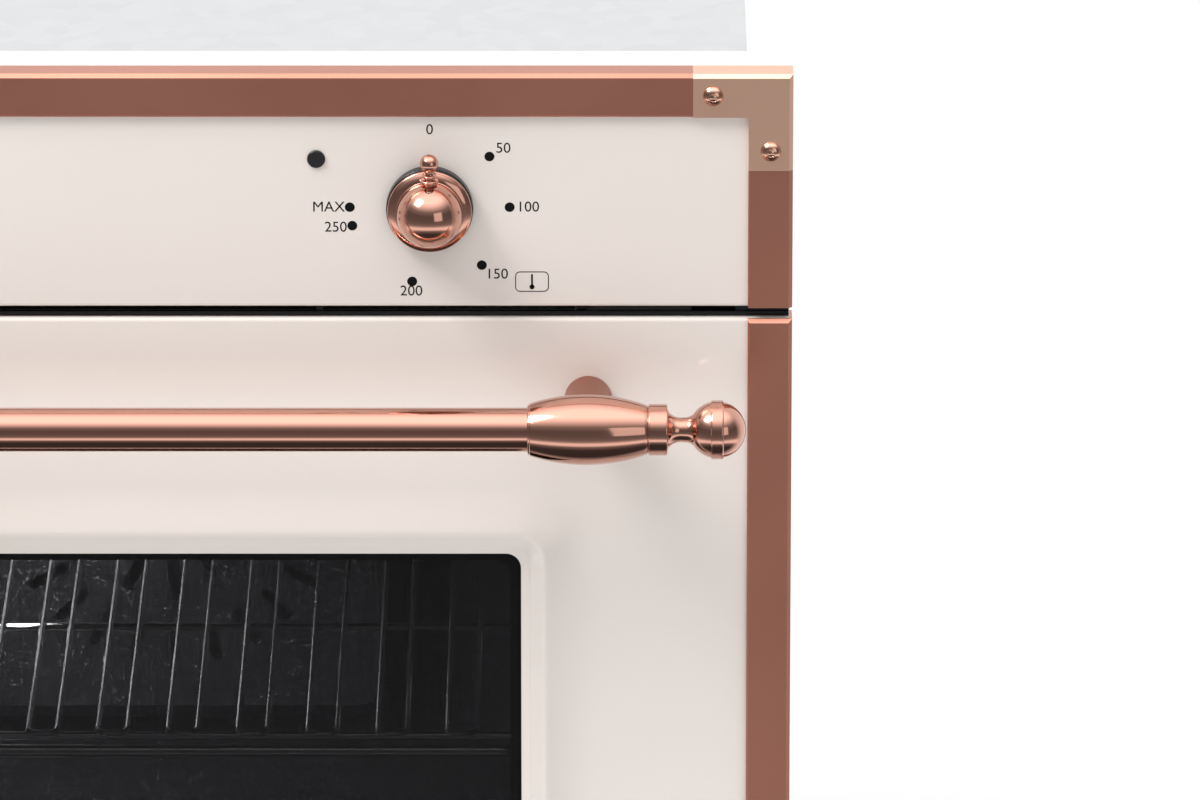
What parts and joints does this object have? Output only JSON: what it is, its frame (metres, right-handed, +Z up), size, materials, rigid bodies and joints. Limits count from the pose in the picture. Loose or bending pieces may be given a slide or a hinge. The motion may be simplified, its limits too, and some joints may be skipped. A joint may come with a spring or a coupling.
{
  "type": "built-in electric oven",
  "caption": "Built-in oven with cream enamel front, copper trims, riveted corner brackets, turned bar handle, domed knobs with ball pointers and a raised window moulding.",
  "frame": {"origin": "centre of the bounding box's bottom face, under the base pan", "axes": "+Z up, the front faces -Y, +X is the viewer's right; +Y runs to the rear cover"},
  "size_m": [0.595, 0.6469, 0.595],
  "materials": {
    "cream_enamel": "gloss",
    "copper": "polished",
    "light_copper": "satin",
    "aged_copper": "satin",
    "black_plastic": "gloss",
    "switch_plastic": "matte",
    "plated_steel": "satin",
    "zinc_sheet": "satin",
    "dark_metal": "gloss",
    "grey_enamel": "gloss",
    "wool": "matte",
    "seal_rubber": "matte",
    "chrome_wire": "polished",
    "element_steel": "satin",
    "fan_aluminium": "satin",
    "dark_glass": "gloss",
    "clear_glass": "gloss"
  },
  "bodies": {
    "housing": {"base_pan": "zinc_sheet", "outer_wrap": "zinc_sheet", "rear_cover": "zinc_sheet", "front_frame": "zinc_sheet", "cavity_walls": "grey_enamel", "cavity_back": "grey_enamel", "insulation_blanket": "wool", "door_seal": "seal_rubber", "control_panel": "cream_enamel", "control_carrier": "plated_steel", "panel_top_trim": "copper", "panel_side_trims": "copper", "panel_brackets": "light_copper", "panel_rivets": "light_copper", "pilot_lamps": "black_plastic", "knob_bezels": "black_plastic", "thermostat": "switch_plastic", "selector_switch": "switch_plastic", "vent_strip": "dark_metal", "roof_element": "element_steel", "grill_element": "element_steel", "floor_element": "element_steel", "ring_element": "element_steel", "shelf_ladders": "chrome_wire", "oven_lamp": "clear_glass", "fan_cover": "grey_enamel", "fan_motor": "fan_aluminium", "cooling_duct": "plated_steel", "blower_housing": "plated_steel", "blower_motor": "fan_aluminium", "hinge_arms": "plated_steel", "hinge_receivers": "plated_steel", "terminal_box": "black_plastic"},
    "door": {"door_front": "cream_enamel", "door_side_trims": "copper", "door_bottom_trim": "copper", "door_brackets": "light_copper", "door_rivets": "light_copper", "window_glass": "dark_glass", "window_seal": "seal_rubber", "glass_clamp_frame": "plated_steel", "inner_glass": "clear_glass", "door_frame": "plated_steel", "hinge_channels": "plated_steel", "hinge_pins": "plated_steel", "handle_tube": "copper", "handle_barrels": "copper", "handle_finials": "copper", "handle_posts": "aged_copper", "handle_screws": "plated_steel"},
    "thermostat_control": {"thermostat_knob": "copper", "thermostat_pointer": "copper", "thermostat_shaft": "plated_steel"},
    "selector_control": {"selector_knob": "copper", "selector_pointer": "copper", "selector_shaft": "plated_steel"},
    "fan": {"fan_impeller": "fan_aluminium"},
    "blower": {"blower_rotor": "fan_aluminium"},
    "shelf": {"wire_shelf": "chrome_wire"}
  },
  "joints": [
    {"name": "door_hinge", "type": "hinge", "parent": "housing", "child": "door", "pos_m": [0, -0.2435, 0.02], "axis": [1, 0, 0], "range_deg": [0, 90], "stiffness_Nm_per_rad": 8, "springref_deg": -17.19},
    {"name": "thermostat_turn", "type": "hinge", "parent": "housing", "child": "thermostat_control", "pos_m": [0.134, -0.2745, 0.532], "axis": [0, -1, 0], "range_deg": [-271, 0]},
    {"name": "selector_turn", "type": "hinge", "parent": "housing", "child": "selector_control", "pos_m": [-0.134, -0.2745, 0.532], "axis": [0, -1, 0], "continuous": true},
    {"name": "fan_spin", "type": "hinge", "parent": "housing", "child": "fan", "pos_m": [0, 0.1685, 0.247], "axis": [0, 1, 0], "continuous": true},
    {"name": "blower_spin", "type": "hinge", "parent": "housing", "child": "blower", "pos_m": [0, 0.0525, 0.5181], "axis": [1, 0, 0], "continuous": true},
    {"name": "shelf_slide", "type": "slide", "parent": "housing", "child": "shelf", "axis": [0, -1, 0], "range_m": [0, 0.018]}
  ]
}
